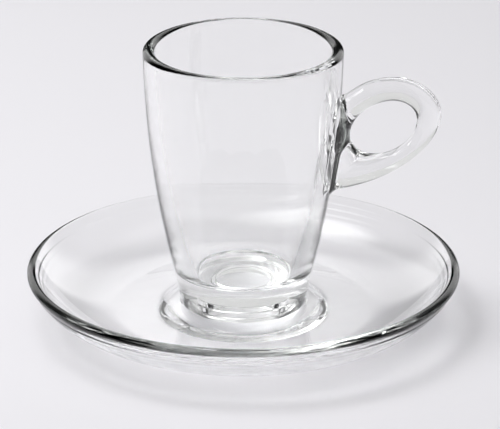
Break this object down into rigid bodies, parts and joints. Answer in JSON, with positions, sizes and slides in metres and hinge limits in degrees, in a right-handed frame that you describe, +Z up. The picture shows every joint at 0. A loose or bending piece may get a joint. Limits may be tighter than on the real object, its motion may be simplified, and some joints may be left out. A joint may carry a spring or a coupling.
{
  "type": "espresso cup and saucer",
  "caption": "Clear glass espresso cup with a tapered bowl, thick base and ear handle, standing loose on the raised seat of a shallow upturned glass saucer.",
  "frame": {"origin": "middle of the saucer's standing ring, on the plane that the set stands on", "axes": "+Z up along the axis of cup and saucer, +X towards the handle"},
  "size_m": [0.1224, 0.1224, 0.0805],
  "materials": {
    "cup_glass": "clear, fire polished",
    "handle_glass": "clear, fire polished",
    "saucer_glass": "clear, fire polished"
  },
  "bodies": {
    "saucer": {"saucer": "saucer_glass"},
    "cup": {"cup_body": "cup_glass", "handle": "handle_glass"}
  },
  "joints": [
    {"name": "cup_lift", "type": "slide", "parent": "saucer", "child": "cup", "axis": [0, 0, 1], "range_m": [0, 0.08]}
  ]
}
